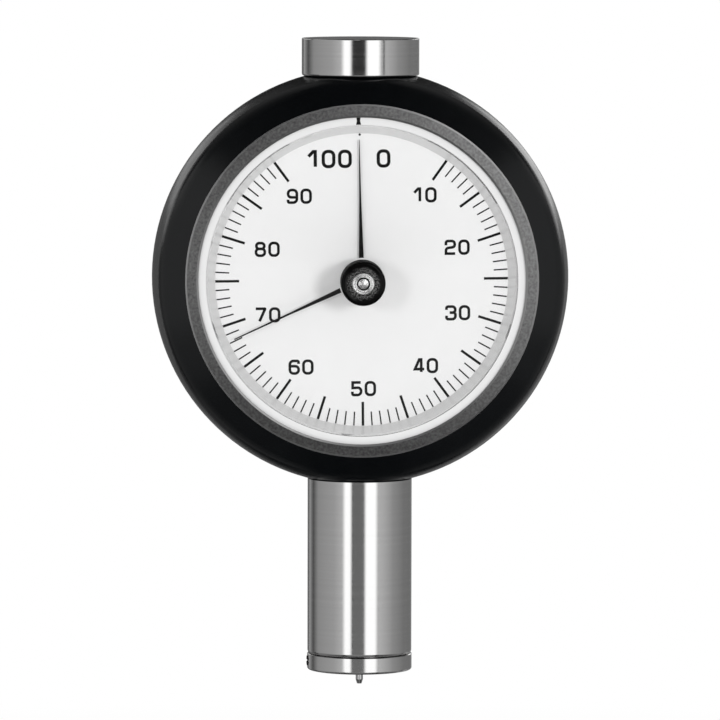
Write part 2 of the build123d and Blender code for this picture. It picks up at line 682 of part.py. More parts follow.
def main_spring():
    """The helical spring, as half turns tilted in turn about the y axis."""
    low = COLLAR_TOP_Z + SPRING_WIRE_R
    rise = (ADJUSTER_Z[0] - SPRING_WIRE_R - low) / (2 * SPRING_TURNS)
    side_r = sqrt(SPRING_R ** 2 + (rise / 2) ** 2)
    arcs = []
    for half_turn in range(2 * SPRING_TURNS):
        side = -1 if half_turn % 2 else 1
        start = low + half_turn * rise
        middle = (0, side * side_r, start + rise / 2)
        arcs.append(ThreePointArc((side * SPRING_R, 0, start), middle, (-side * SPRING_R, 0, start + rise)))
    path = Wire(arcs)
    section = Plane(origin=path @ 0, z_dir=path % 0) * Circle(SPRING_WIRE_R)
    print("main spring, least gap between turns:", round(least_gap(path, 2 * SPRING_WIRE_R), 3))
    return sweep(section, path=path)


def least_gap(path, wire):
    """Least gap of a coil to itself, measured between points at least half a turn apart."""
    steps = 40 * SPRING_TURNS
    half_turn = steps // (2 * SPRING_TURNS)
    points = [tuple(path @ (step / steps)) for step in range(steps + 1)]
    pairs = [(a, b) for a in range(steps + 1) for b in range(a + half_turn, steps + 1)]
    return min(dist(points[a], points[b]) for a, b in pairs) - wire


def indenter():
    """The pin with a cut-off cone at its end."""
    cone = (INDENTER_R - INDENTER_TIP_R) / tan(radians(INDENTER_HALF_ANGLE))
    return turned(
        (0, -TRAVEL),
        (INDENTER_TIP_R, -TRAVEL),
        (INDENTER_R, cone - TRAVEL),
        (INDENTER_R, INDENTER_TOP_Z),
        (0, INDENTER_TOP_Z),
    )


def guide_pin_frame():
    """Frame of the guide pin: z points towards +X."""
    return Pos(0, 0, GUIDE_PIN_Z) * Rot(0, 90, 0)


def spindle():
    """The round spindle with its rack, the indenter's socket and the guide pin's hole."""
    shaft = rod(SPINDLE_R, SPINDLE_END_Z, SPINDLE_TOP_Z) - rack_cutter()
    shaft -= rod(INDENTER_R + FIXED_GAP, SPINDLE_END_Z, INDENTER_TOP_Z)
    return shaft - guide_pin_frame() * rod(GUIDE_PIN_R + FIXED_GAP, GUIDE_PIN_X[0], SPINDLE_R)


def upright_pieces():
    """Pieces drawn in the object's own frame."""
    return {
        "housing": housing(),
        "top_cap": top_cap(),
        "stem": stem(),
        "presser_foot": presser_foot(),
        "foot_set_screw": foot_set_screw(),
        "lower_bush": ring(SPINDLE_R + RUNNING_GAP, SPRING_BORE_R - FIXED_GAP, *LOWER_BUSH_Z),
        "upper_bush": upper_bush(),
        "spring_adjuster": spring_adjuster(),
        "main_spring": main_spring(),
        "indenter": indenter(),
        "spindle": spindle(),
        "spring_collar": ring(SPINDLE_R + FIXED_GAP, COLLAR_R, LOWER_BUSH_Z[1] + STOP_GAP, COLLAR_TOP_Z),
        "guide_pin": guide_pin_frame() * rod(GUIDE_PIN_R, *GUIDE_PIN_X),
    }


def dial_pieces():
    """Pieces drawn in the dial's frame."""
    crystal_hole_r = DRAG_BUSH_R + FIXED_GAP
    return {
        "back_cover": back_cover(),
        "back_cover_seal": back_cover_seal(),
        "back_cover_screws": back_cover_screws(),
        "bezel_ring": bezel_ring(),
        "crystal": ring(crystal_hole_r, CRYSTAL_R, CRYSTAL_BACK_Z, RING_LAND_Z),
        "crystal_seal": ring(RING_LEDGE_R, CRYSTAL_R, RING_LEDGE_Z, CRYSTAL_BACK_Z),
        "dial_ring": dial_ring(),
        "dial_plate": ring(DIAL_HOLE_R, DIAL_R, DIAL_LEDGE_Z, DIAL_FACE_Z),
        "dial_feet": each(DIAL_FOOT_SPOTS, rod(DIAL_FOOT_R, DIAL_FOOT_END_Z, DIAL_LEDGE_Z)),
        "front_plate": front_plate(),
        "front_plate_screws": plate_screws(),
        "rear_plate": rear_plate(),
        "plate_pillars": plate_pillars(),
        "pillar_screws": pillar_screws(),
        "arbor_bearings": arbor_bearings(),
        "rack_pinion": rack_pinion(),
        "drive_gear": drive_gear(),
        "centre_arbor": centre_arbor(),
        "hairspring": hairspring(),
        "hairspring_collet": ring(CENTRE_ARBOR_R + FIXED_GAP, COLLET_R, *COLLET_Z),
        "hairspring_stud": stud_spot() * rod(STUD_R, *STUD_Z),
        "main_pointer": main_pointer(),
        "pointer_hub": ring(CENTRE_ARBOR_R + FIXED_GAP, HUB_R, *POINTER_HUB_Z),
        "drag_pointer": hand(DRAG_Z, DRAG_TIP_WIDTH, DRAG_TURN),
        "drag_hub": ring(DRAG_SHAFT_R + FIXED_GAP, HUB_R, *DRAG_HUB_Z),
        "drag_shaft": drag_shaft(),
        "drag_knob": drag_knob(),
        "drag_bush": drag_bush(),
        "friction_washer": ring(*WASHER_R, *WASHER_Z),
    }


os.makedirs("parts", exist_ok=True)
pieces = upright_pieces()
pieces.update({name: DIAL_FRAME * piece for name, piece in dial_pieces().items()})
for name, piece in pieces.items():
    export_step(piece, f"parts/{name}.step")
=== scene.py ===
from math import atan2, ceil, copysign, cos, pi, radians, sin, tan

import bmesh
import bpy
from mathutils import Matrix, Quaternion, Vector


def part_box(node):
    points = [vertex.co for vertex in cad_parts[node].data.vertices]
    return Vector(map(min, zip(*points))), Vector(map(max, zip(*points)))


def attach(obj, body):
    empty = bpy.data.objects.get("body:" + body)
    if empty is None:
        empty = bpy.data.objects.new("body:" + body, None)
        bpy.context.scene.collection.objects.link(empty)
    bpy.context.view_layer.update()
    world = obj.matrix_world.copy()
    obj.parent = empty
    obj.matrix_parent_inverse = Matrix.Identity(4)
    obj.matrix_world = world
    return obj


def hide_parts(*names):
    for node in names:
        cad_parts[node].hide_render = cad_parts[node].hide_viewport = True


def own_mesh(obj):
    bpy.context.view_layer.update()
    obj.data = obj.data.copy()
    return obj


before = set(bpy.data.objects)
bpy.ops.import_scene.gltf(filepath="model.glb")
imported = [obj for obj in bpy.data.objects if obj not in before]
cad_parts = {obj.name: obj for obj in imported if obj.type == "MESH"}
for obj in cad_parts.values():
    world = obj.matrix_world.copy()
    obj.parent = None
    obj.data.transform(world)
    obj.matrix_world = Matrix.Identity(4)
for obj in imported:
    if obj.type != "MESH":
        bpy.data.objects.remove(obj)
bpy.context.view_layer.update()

# The looks of a round dial hardness tester: finishes, the print on the dial, studio light and camera.
# Lengths are in metres, in the part's own frame: Z up, the dial facing -Y.

MM = 0.001

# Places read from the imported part
dial_low, dial_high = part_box("dial_plate")
DIAL_FACE_Y = dial_low.y
LAND_FACE_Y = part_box("dial_ring")[0].y
DIAL_MIDDLE = Vector((0, 0, (dial_low.z + dial_high.z) / 2))
BEZEL_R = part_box("bezel_ring")[1].x
CRYSTAL_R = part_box("crystal")[1].x
KNOB_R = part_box("drag_knob")[1].x
HEAD_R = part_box("drag_shaft")[1].x

# Where a finish changes with the distance from the dial's axis
# Spans of the painted highlights on the bezel's rim and window bevels
BEZEL_RIM_HIGHLIGHT_R = (BEZEL_R - 0.32 * MM, BEZEL_R - 0.24 * MM)
BEZEL_WINDOW_HIGHLIGHT_R = (BEZEL_R - 1.93 * MM, BEZEL_R - 1.85 * MM)
RING_LAND_R = (CRYSTAL_R - 0.15 * MM, CRYSTAL_R - 0.07 * MM)
KNOB_SIDE_R = (KNOB_R - 0.2 * MM, KNOB_R - 0.05 * MM)
# Span over which the knob's painted glints and its ring bumps fade out from the head
KNOB_GLINT_AND_RELIEF_R = (HEAD_R + 0.3 * MM, HEAD_R + 1.05 * MM)
# Span of the groove round the head's dome, where shade is painted
HEAD_GROOVE_R = (HEAD_R - 1.02 * MM, HEAD_R - 0.8 * MM)
HEAD_SOFT_EDGE = 0.05 * MM

# Values that several finishes share
WHOLE = (0.0, 1.0)
NOISE_SPAN = (0.3, 0.7)  # where nearly all of a noise value lies
GRAIN_DETAIL = 3.0
LINE_DETAIL = 4.0
LINE_ROUGHNESS = 0.7
GLOSS_IOR = 1.5
QUARTER_TURN = 0.25  # from the lines of a turned surface to the streak that they smear

# Bezel: greys and roughness go from the low end of its mottle to the high one, as in the finishes below
BEZEL_SPOT = 0.45 * MM
BEZEL_SPOT_DETAIL = 5.0
BEZEL_LINE = 0.25 * MM
BEZEL_MOTTLE_SPAN = (0.7, 1.3)  # of spots and lines added up
BEZEL_GREYS = (0.095, 0.215)
# Painted highlights: the bezel's rim and window bevels are painted lighter than its satin, for the light
# they catch
BEZEL_RIM_HIGHLIGHT_GREY = 0.36
BEZEL_WINDOW_HIGHLIGHT_GREY = 0.3
BEZEL_ROUGHNESS = (0.32, 0.42)
BEZEL_RELIEF = 0.002 * MM

# Turned steel of the cap, the stem and the foot
STEEL_FINE_LINE = 0.12 * MM
STEEL_BROAD_LINE = 0.9 * MM
STEEL_GREYS = (0.6, 0.68)
STEEL_TINT = 0.004
STEEL_ROUGHNESS = (0.1, 0.16)
STEEL_STREAK = 0.4
STEEL_RELIEF = 0.0008 * MM

# Bright head in the middle of the knob
HEAD_LINE = 0.12 * MM
HEAD_GREYS = (0.7, 0.95)
# Painted shade: the groove round the dome is painted near black
HEAD_GROOVE_SHADE_GREY = 0.06
HEAD_ROUGHNESS = (0.14, 0.22)
HEAD_STREAK = 0.85
HEAD_RELIEF = 0.03 * MM

# Knob
KNOB_LINE = 0.3 * MM
KNOB_SPECK = 0.2 * MM
KNOB_DETAIL = 2.0
KNOB_SPECK_SPAN = (0.45, 0.65)
# Black of the knob's face, and the light grey of the glints painted on it
KNOB_FACE_AND_GLINT_GREYS = (0.001, 0.16)
KNOB_SIDE_GRAIN = 0.4 * MM
KNOB_SIDE_GREYS = (0.003, 0.012)
KNOB_ROUGHNESS = (0.12, 0.75)  # on its face and on its side
KNOB_SPECULAR = 0.1
KNOB_RELIEF = 0.012 * MM

# Crystal and the ring round it
CRYSTAL_CLEARNESS = 0.99
CRYSTAL_SMEAR = 6.0 * MM
CRYSTAL_ROUGHNESS = (0.0, 0.04)
CRYSTAL_IOR = 1.49
RING_PATCH = 1.5 * MM
RING_CONE_GREYS = (0.68, 0.72)
RING_LAND_GREYS = (0.75, 0.78)
RING_ROUGHNESS = (0.04, 0.08)

# Small metal pieces, rubber, paint and ink; bumps are a size and a depth
METAL_PATCH = 0.8 * MM
METAL_SHADE = 0.85
METAL_SWING = 0.05  # of the roughness, to each side
METAL_BUMPS = (0.1 * MM, 0.001 * MM)
RUBBER_PATCH = 0.4 * MM
RUBBER_ROUGHNESS = (0.6, 0.8)
RUBBER_BUMPS = (0.4 * MM, 0.01 * MM)
PAINT_PATCH = 0.3 * MM
PAINT_SWING = 0.06  # of the roughness, to each side
PAINT_SPECULAR = 0.2

# Print on the dial
PRINT_TURN = radians(0.66)  # anticlockwise, as the pointer rests
PRINT_DEPTH = 0.02 * MM
PRINT_STEP = 0.004 * MM  # extra height of a stroke that crosses an earlier one
UNITS_PER_TURN = 100
TICK_VALUES = range(10, 91)
TICK_EVERY = 5
TICK_OUTER_R = 24.76 * MM
MAJOR_TICK = (20.72 * MM, 0.43 * MM)  # inner radius and width
MINOR_TICK = (22.43 * MM, 0.23 * MM)
NUMERAL_SPOTS = {  # how far numerals stand from the middle of their ring, to each side and up or down
    (10, 40, 60, 90): (10.55 * MM, 14.48 * MM),
    (20, 30, 70, 80): (16.07 * MM, 5.56 * MM),
    (50,): (0.0, 18.26 * MM),
}
NUMERAL_SHIFT = Vector((0.15 * MM, -0.22 * MM))  # middle of the numerals' ring
NUMERAL_SIZE = (1.48 * MM, 2.13 * MM)  # middle lines of the strokes
NUMERAL_STROKE = 0.46 * MM
NUMERAL_GAP = 0.83 * MM  # between the middle lines of neighbouring digits
NUMERAL_CORNER = 0.62 * MM
END_NUMERALS = (("100", -5.4 * MM), ("0", 3.9 * MM))
END_NUMERAL_R = 20.5 * MM
END_NUMERAL_SCALE = 1.2
CORNER_STEPS = 7
CORNER_SHARE = 0.48  # the most of a straight run that one of its corners may take
ZERO_MARK_TURN = radians(1.45)
ZERO_MARK_R = (26.4 * MM, 27.61 * MM)
ZERO_MARK_WIDTHS = (0.86 * MM, 0.54 * MM, 0.68 * MM)
ZERO_DOT_TURN = radians(0.88)
ZERO_DOT_R = 24.58 * MM
ZERO_DOT_SIZE = 0.2 * MM
DOT_SIDES = 24

# Middle lines of the digits: (closed, points), with points as shares of the numeral's width and height and
# of its corner radius
DIGITS = {
    "0": [(True, [(0, 0, 1), (1, 0, 1), (1, 1, 1), (0, 1, 1)])],
    "1": [(False, [(0.16, 0.68, 0), (0.6, 1, 0), (0.8, 1, 0), (0.8, 0, 0)])],
    "2": [
        (
            False,
            [(0, 0.66, 0), (0, 1, 1), (1, 1, 1), (1, 0.53, 0.7), (0, 0.42, 0.7), (0, 0, 0), (1.05, 0, 0)],
        ),
    ],
    "3": [
        (False, [(0, 0.74, 0), (0, 1, 0.9), (1, 1, 0.9), (1, 0.52, 0.8), (0.36, 0.52, 0)]),
        (False, [(0.5, 0.52, 0), (1.02, 0.52, 0.8), (1.02, 0, 1), (0, 0, 1), (0, 0.28, 0)]),
    ],
    "4": [
        (False, [(0.2, 0.23, 0), (0.06, 0.23, 0), (0.56, 1, 0), (0.78, 1, 0), (0.78, 0, 0)]),
        (False, [(0.15, 0.23, 0), (1.12, 0.23, 0)]),
    ],
    "5": [
        (
            False,
            [(0.96, 1, 0), (0.04, 1, 0), (0.04, 0.56, 0), (1, 0.6, 1), (1, 0, 1), (0, 0, 1), (0, 0.27, 0)],
        ),
    ],
    "6": [
        (False, [(1, 0.76, 0), (1, 1, 1), (0, 1, 1), (0, 0, 1), (1, 0, 1), (1, 0.58, 0.9), (0.1, 0.58, 0)]),
    ],
    "7": [(False, [(-0.1, 1, 0), (0.98, 1, 0.1), (0.32, 0, 0)])],
    "8": [
        (True, [(0, 0, 1), (1, 0, 1), (1, 0.54, 0.8), (0, 0.54, 0.8)]),
        (True, [(0.05, 0.54, 0.8), (0.95, 0.54, 0.8), (0.95, 1, 0.9), (0.05, 1, 0.9)]),
    ],
    "9": [
        (False, [(0, 0.24, 0), (0, 0, 1), (1, 0, 1), (1, 1, 1), (0, 1, 1), (0, 0.42, 0.9), (0.9, 0.42, 0)]),
    ],
}

# Camera
IMAGE_SIDE = 720
SENSOR = 36.0  # millimetres, as Blender counts it
CAMERA_DISTANCE = 1.15
CAMERA_AZIMUTH = radians(-1.6)
CAMERA_ELEVATION = radians(3.6)
CAMERA_ROLL = radians(0.116)
CAMERA_CLIP = (0.05, 20)
PIXELS_PER_METRE = 5863  # at the middle of the case
AIM = Vector((0.012 * MM, 0, 53.02 * MM))

# Studio
STUDIO_MIDDLE = Vector((0, 0, 0.06))
AMBIENT = 0.54
FLOOR_Z = -0.06
FLOOR_R = 0.45
FLOOR_SIDES = 96
FLOOR_FADE = (0.35, 0.95)  # shares of its radius between which it fades into white
FLOOR_GREY = 0.8
FLOOR_GLOW = 0.425
CARD_R = 2.0
CARD_STEP = 0.02  # each card stands this much nearer than the one before it
CARD_FACE = radians(4)  # the widest face of a card
SOFTBOX_R = 1.0

# Cards that only reflections see: azimuths, elevations, and levels at the first and the last azimuth
CARDS = {
    "dim_room": ((-180, 180), (-89, 89), (0.02, 0.02)),
    "zenith": ((-180, 180), (80, 89.5), (0.06, 0.06)),
    "back_ceiling": ((160, 200), (52, 78), (0.25, 0.25)),
    "left_back_upper": ((-165, -105), (40, 75), (0.2, 0.2)),
    "right_back_upper": ((105, 165), (40, 75), (0.2, 0.2)),
    "back_floor": ((150, 210), (-80, -52), (0.1, 0.1)),
    "back_panel": ((165, 195), (-18, -4), (0.3, 0.3)),
    "back_slit": ((165, 195), (-4, 8), (0.16, 0.16)),
    "above_camera": ((-20, 12), (9, 44), (0.5, 0.5)),
    "left_high": ((-130, -40), (34, 72), (0.16, 0.02)),
    "left_low": ((-130, -40), (-75, -34), (0.26, 0.02)),
    "left_back_high": ((-163, -125), (16, 40), (0.13, 0.1)),
    "left_back_edge": ((-175, -163), (16, 40), (0.02, 0.13)),
    "left_back_low": ((-163, -125), (-45, -18), (0.12, 0.14)),
    "left_back_foot": ((-175, -163), (-45, -18), (0.02, 0.12)),
    "left_wall_front": ((-60, -40), (-18, 18), (0.46, 0.62)),
    "left_wall_side": ((-106, -60), (-18, 18), (0.36, 0.46)),
    "left_wall_turn": ((-126, -106), (-18, 18), (0.09, 0.36)),
    "left_wall_upper": ((-115, -40), (18, 34), (0.6, 0.4)),
    "left_wall_lower": ((-115, -40), (-34, -18), (0.25, 0.25)),
    "left_wall_back": ((-150, -126), (-18, 24), (0.45, 0.09)),
    "left_rim_wall": ((-170, -150), (-18, 5), (0.15, 0.17)),
    "left_rim_panel": ((-168, -118), (6, 18), (0.64, 1.0)),
    "right_high": ((40, 130), (34, 72), (0.02, 0.17)),
    "right_low": ((40, 130), (-75, -34), (0.02, 0.24)),
    "right_back_high": ((125, 163), (16, 40), (0.09, 0.1)),
    "right_back_edge": ((163, 175), (16, 40), (0.1, 0.02)),
    "right_back_low": ((125, 163), (-45, -18), (0.4, 0.28)),
    "right_back_foot": ((163, 175), (-45, -18), (0.28, 0.02)),
    "right_wall_front": ((41, 75), (-18, 18), (0.68, 0.4)),
    "right_wall_gap": ((43, 47), (-3.5, 18), (0.15, 0.15)),
    "right_wall_side": ((75, 115), (-18, 18), (0.38, 0.23)),
    "right_wall_upper": ((41, 115), (18, 34), (0.36, 0.5)),
    "right_wall_lower": ((41, 115), (-34, -18), (0.15, 0.28)),
    "right_wall_back": ((115, 150), (-18, 24), (0.24, 0.2)),
    "right_rim_wall": ((150, 170), (-18, 5), (0.2, 0.32)),
    "right_rim_panel": ((118, 168), (4, 17), (1.2, 1.4)),
    "table_edge": ((-16, 12), (-12, -3), (0.2, 0.2)),
    "front_table": ((-34, 34), (-58, -12), (0.27, 0.27)),
    "right_strip": ((13, 34), (-16, 4), (1.6, 1.6)),
    "right_strip_inner": ((7.5, 13), (-16, 4), (0.2, 1.6)),
    "right_strip_outer": ((33, 41), (-16, 4), (1.6, 0.45)),
    "right_strip_high": ((12, 38), (4, 40), (2.4, 2.4)),
    "left_strip": ((-34, -22.5), (-16, 18), (1.6, 1.6)),
    "left_strip_inner": ((-22.5, -17.5), (-16, 18), (1.6, 0.2)),
    "left_strip_outer": ((-40, -33), (-16, 18), (0.6, 1.6)),
}
# Soft lights that only matt surfaces see: azimuth, elevation, width and height, level
SOFTBOXES = {
    "right_softbox": (20.5, 6.5, (0.16, 0.16), 43.5),
    "left_softbox": (-23.5, 7, (0.16, 0.16), 19.2),
}


def add(tree, kind, values=None, **settings):
    """A new node; values fill its inputs, by a link where the value is another node's output."""
    made = tree.nodes.new(kind)
    for name, setting in settings.items():
        setattr(made, name, setting)
    for name, value in (values or {}).items():
        put(tree, made.inputs[name], value)
    return made


def put(tree, socket, value):
    """Sets an input, or links it where the value is a socket."""
    if isinstance(value, bpy.types.NodeSocket):
        tree.links.new(value, socket)
    else:
        socket.default_value = value


def principled(name, **values):
    """A material with one Principled shader; values go to its inputs, with _ for a space."""
    material = bpy.data.materials.new(name)
    material.use_nodes = True
    shader = material.node_tree.nodes["Principled BSDF"]
    for key, value in values.items():
        shader.inputs[key.replace("_", " ")].default_value = value
    return material, material.node_tree, shader


def unshaded(name):
    """A material with no shader yet."""
    material, tree, shader = principled(name)
    tree.nodes.remove(shader)
    return material, tree


def surface(tree, shader):
    """Makes a shader what the material shows."""
    put(tree, tree.nodes["Material Output"].inputs["Surface"], shader)


def mix_shaders(tree, share, first, second):
    """A shader between two others."""
    return add(tree, "ShaderNodeMixShader", {0: share, 1: first, 2: second}).outputs[0]


def calculated(tree, operation, first, second):
    """What an operation makes of two values."""
    return add(tree, "ShaderNodeMath", {0: first, 1: second}, operation=operation).outputs["Value"]


def object_point(tree):
    """The point on the surface, in the part's frame."""
    return add(tree, "ShaderNodeTexCoord").outputs["Object"]


def height_line(tree):
    """The surface point's height along the stem."""
    return add(tree, "ShaderNodeSeparateXYZ", {"Vector": object_point(tree)}).outputs["Z"]


def dial_radius(tree):
    """The surface point's distance from the dial's axis."""
    point = object_point(tree)
    offset = add(tree, "ShaderNodeVectorMath", {0: point, 1: DIAL_MIDDLE}, operation="SUBTRACT")
    flat = add(tree, "ShaderNodeVectorMath", {0: offset.outputs[0], 1: (1, 0, 1)}, operation="MULTIPLY")
    return add(tree, "ShaderNodeVectorMath", {0: flat.outputs[0]}, operation="LENGTH").outputs["Value"]


def grain(tree, size, detail=GRAIN_DETAIL):
    """Noise whose spots are about this size."""
    values = {"Vector": object_point(tree), "Scale": 1 / size, "Detail": detail}
    return add(tree, "ShaderNodeTexNoise", values).outputs["Fac"]


def lines(tree, along, size, detail=LINE_DETAIL):
    """Noise in lines across a coordinate, about this far apart."""
    values = {"W": along, "Scale": 1 / size, "Detail": detail, "Roughness": LINE_ROUGHNESS}
    return add(tree, "ShaderNodeTexNoise", values, noise_dimensions="1D").outputs["Fac"]


def spread(tree, value, low, high, source=NOISE_SPAN):
    """A value brought from its own span to the range from low to high."""
    values = {"Value": value, "From Min": source[0], "From Max": source[1], "To Min": low, "To Max": high}
    return add(tree, "ShaderNodeMapRange", values).outputs["Result"]


def between(tree, value, low, high, edge):
    """1 where a value lies between two others and 0 elsewhere, with soft edges."""
    rising = spread(tree, value, 0.0, 1.0, (low - edge, low))
    falling = spread(tree, value, 1.0, 0.0, (high, high + edge))
    return calculated(tree, "MULTIPLY", rising, falling)


def blend(tree, share, first, second):
    """A colour between two others."""
    mix = add(tree, "ShaderNodeMix", data_type="RGBA")
    put(tree, mix.inputs["Factor"], share)
    colours = [socket for socket in mix.inputs if socket.type == "RGBA"]
    for socket, colour in zip(colours, (first, second)):
        put(tree, socket, colour)
    return next(socket for socket in mix.outputs if socket.type == "RGBA")


def grey(level, tint=0.0):
    """An opaque grey; tint warms it above 0 and cools it below."""
    return (level * (1 + tint), level, level * (1 - tint), 1)


def greys(levels, tint=0.0):
    """An opaque grey for each level."""
    return [grey(level, tint) for level in levels]


def relief(tree, shader, height, depth, strength=1.0):
    """A bump of this depth on the shader's normal."""
    bump = add(tree, "ShaderNodeBump", {"Height": height, "Distance": depth, "Strength": strength})
    put(tree, shader.inputs["Normal"], bump.outputs["Normal"])


def turned_round(tree, shader, axis):
    """Lays the streak of a turned surface round an axis."""
    tangent = add(tree, "ShaderNodeTangent", direction_type="RADIAL", axis=axis)
    put(tree, shader.inputs["Tangent"], tangent.outputs["Tangent"])


def mottled(name, patch_size, colours, roughness, bumps=None, **values):
    """A finish in soft patches of this size, with bumps of a size and depth; values go to its shader."""
    material, tree, shader = principled(name, **values)
    patches = grain(tree, patch_size)
    put(tree, shader.inputs["Base Color"], blend(tree, patches, *colours))
    put(tree, shader.inputs["Roughness"], spread(tree, patches, *roughness))
    if bumps:
        size, depth = bumps
        relief(tree, shader, grain(tree, size), depth)
    return material


def machined(name, colour, roughness):
    """A small machined metal piece with a light brushed grain."""
    darker = [METAL_SHADE * level for level in colour]
    return mottled(
        name,
        METAL_PATCH,
        colours=((*darker, 1), (*colour, 1)),
        roughness=(roughness - METAL_SWING, roughness + METAL_SWING),
        bumps=METAL_BUMPS,
        Metallic=1.0,
    )


def gasket(name, levels):
    """Matte rubber between two greys."""
    return mottled(name, RUBBER_PATCH, greys(levels), RUBBER_ROUGHNESS, RUBBER_BUMPS)


def black_paint(name, levels, roughness):
    """Matte black paint or ink with a faint grain."""
    return mottled(
        name,
        PAINT_PATCH,
        colours=greys(levels),
        roughness=(roughness - PAINT_SWING, roughness + PAINT_SWING),
        Specular_IOR_Level=PAINT_SPECULAR,
    )


def satin_bezel():
    """Grey satin aluminium, mottled by fine turning and blasting, with painted highlights on the bevels at
    its rim and window.
    """
    material, tree, shader = principled("satin_bezel_finish", Metallic=1.0)
    radius = dial_radius(tree)
    # Painted highlights: masks of the rim and window bevels, which are painted lighter for the light they
    # catch
    rim_highlight = spread(tree, radius, 0.0, 1.0, BEZEL_RIM_HIGHLIGHT_R)
    window_highlight = spread(tree, radius, 1.0, 0.0, BEZEL_WINDOW_HIGHLIGHT_R)
    spots = grain(tree, BEZEL_SPOT, BEZEL_SPOT_DETAIL)
    mottle = calculated(tree, "ADD", spots, lines(tree, radius, BEZEL_LINE))
    satin = blend(tree, spread(tree, spots, 0.0, 1.0), *greys(BEZEL_GREYS))
    rim_highlighted = blend(tree, rim_highlight, satin, grey(BEZEL_RIM_HIGHLIGHT_GREY))
    put(tree, shader.inputs["Base Color"], blend(tree, window_highlight, rim_highlighted, grey(BEZEL_WINDOW_HIGHLIGHT_GREY)))
    put(tree, shader.inputs["Roughness"], spread(tree, mottle, *BEZEL_ROUGHNESS, BEZEL_MOTTLE_SPAN))
    relief(tree, shader, mottle, BEZEL_RELIEF)
    return material


def turned_steel():
    """Bright steel with fine turning lines round the stem's axis."""
    material, tree, shader = principled(
        "turned_steel_finish", Metallic=1.0, Anisotropic=STEEL_STREAK, Anisotropic_Rotation=QUARTER_TURN
    )
    along = height_line(tree)
    broad = lines(tree, along, STEEL_BROAD_LINE)
    put(tree, shader.inputs["Base Color"], blend(tree, broad, *greys(STEEL_GREYS, STEEL_TINT)))
    put(tree, shader.inputs["Roughness"], spread(tree, broad, *STEEL_ROUGHNESS))
    turned_round(tree, shader, "Z")
    relief(tree, shader, lines(tree, along, STEEL_FINE_LINE), STEEL_RELIEF)
    return material


def face_turned():
    """Bright steel turned across its face, round the dial's axis, with painted shade in its groove."""
    material, tree, shader = principled(
        "bright_steel_finish", Metallic=1.0, Anisotropic=HEAD_STREAK, Anisotropic_Rotation=QUARTER_TURN
    )
    radius = dial_radius(tree)
    rings = lines(tree, radius, HEAD_LINE)
    # Painted shade in the groove round the dome
    groove_shade = between(tree, radius, *HEAD_GROOVE_R, HEAD_SOFT_EDGE)
    turned = blend(tree, spread(tree, rings, 0.0, 1.0), *greys(HEAD_GREYS))
    put(tree, shader.inputs["Base Color"], blend(tree, groove_shade, turned, grey(HEAD_GROOVE_SHADE_GREY)))
    put(tree, shader.inputs["Roughness"], spread(tree, rings, *HEAD_ROUGHNESS))
    turned_round(tree, shader, "Y")
    relief(tree, shader, rings, HEAD_RELIEF)
    return material


def clear_crystal():
    """A thin clear pane: it lets light straight through and mirrors a little at its front."""
    material, tree = unshaded("clear_crystal_finish")
    clear = add(tree, "ShaderNodeBsdfTransparent", {"Color": grey(CRYSTAL_CLEARNESS)})
    smear = spread(tree, grain(tree, CRYSTAL_SMEAR), *CRYSTAL_ROUGHNESS)
    mirror = add(tree, "ShaderNodeBsdfGlossy", {"Color": grey(1.0), "Roughness": smear})
    gloss = add(tree, "ShaderNodeFresnel", {"IOR": CRYSTAL_IOR})
    facing_away = add(tree, "ShaderNodeNewGeometry").outputs["Backfacing"]
    front = calculated(tree, "SUBTRACT", 1.0, facing_away)
    share = calculated(tree, "MULTIPLY", gloss.outputs[0], front)
    surface(tree, mix_shaders(tree, share, clear.outputs[0], mirror.outputs[0]))
    return material


def white_ring():
    """Glossy white: a bright flat land, and a greyer cone inside the crystal's edge."""
    material, tree, shader = principled("white_ring_finish", IOR=GLOSS_IOR)
    land = spread(tree, dial_radius(tree), 0.0, 1.0, RING_LAND_R)
    patches = grain(tree, RING_PATCH)
    cone_colour = blend(tree, patches, *greys(RING_CONE_GREYS))
    land_colour = blend(tree, patches, *greys(RING_LAND_GREYS))
    put(tree, shader.inputs["Base Color"], blend(tree, land, cone_colour, land_colour))
    put(tree, shader.inputs["Roughness"], spread(tree, patches, *RING_ROUGHNESS))
    return material


def black_knob():
    """Black plastic, matt on its side, with turned rings on its face round the head and light specks painted
    there as glints.
    """
    material, tree, shader = principled("black_knob_finish", IOR=GLOSS_IOR, Specular_IOR_Level=KNOB_SPECULAR)
    radius = dial_radius(tree)
    rings = lines(tree, radius, KNOB_LINE, KNOB_DETAIL)
    on_side = spread(tree, radius, 0.0, 1.0, KNOB_SIDE_R)
    near_head = spread(tree, radius, 1.0, 0.0, KNOB_GLINT_AND_RELIEF_R)
    # Painted glints: light specks on the face, strongest round the head
    glint_specks = spread(tree, grain(tree, KNOB_SPECK, KNOB_DETAIL), 0.0, 1.0, KNOB_SPECK_SPAN)
    face = blend(tree, calculated(tree, "MULTIPLY", glint_specks, near_head), *greys(KNOB_FACE_AND_GLINT_GREYS))
    side = blend(tree, grain(tree, KNOB_SIDE_GRAIN), *greys(KNOB_SIDE_GREYS))
    put(tree, shader.inputs["Base Color"], blend(tree, on_side, face, side))
    put(tree, shader.inputs["Roughness"], spread(tree, on_side, *KNOB_ROUGHNESS, WHOLE))
    relief(tree, shader, rings, KNOB_RELIEF, near_head)
    return material


